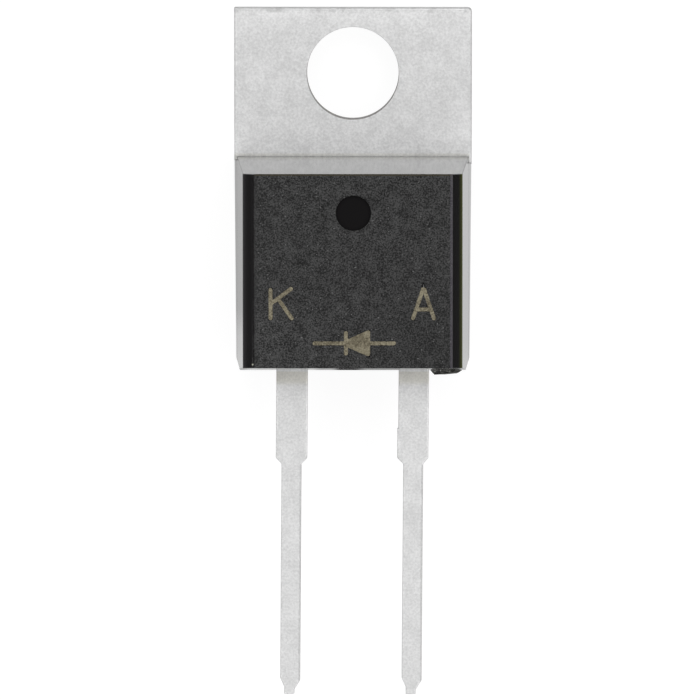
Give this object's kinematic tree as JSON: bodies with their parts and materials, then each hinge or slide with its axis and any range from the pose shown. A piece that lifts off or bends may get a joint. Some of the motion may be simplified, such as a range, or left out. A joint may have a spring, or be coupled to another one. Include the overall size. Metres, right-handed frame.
{
  "type": "schottky diode",
  "caption": "Power rectifier diode in a moulded body with a metal mounting tab, a tab hole and two flat through-hole leads.",
  "frame": {"origin": "centre of the mounting hole on the tab's flat rear face", "axes": "+Z out of the moulded front face, square to the tab; +Y towards the tab's free end, so the leads run along -Y; +X towards the anode lead"},
  "size_m": [0.01, 0.0286, 0.0044],
  "materials": {
    "tinned_copper": "frosted matt tin plating on copper",
    "moulding_compound": "black epoxy, spark-textured on the front and smooth on the walls",
    "laser_mark": "khaki laser marking",
    "silicon": "polished, with a metal layer for the wires",
    "solder": "dull soft solder",
    "aluminium_wire": "bright drawn wire"
  },
  "bodies": {
    "root": {"heat_sink_frame": "tinned_copper", "anode_lead": "tinned_copper", "moulded_body": "moulding_compound", "polarity_mark": "laser_mark", "silicon_die": "silicon", "die_solder": "solder", "bond_wire_1": "aluminium_wire", "bond_wire_2": "aluminium_wire"}
  },
  "joints": []
}
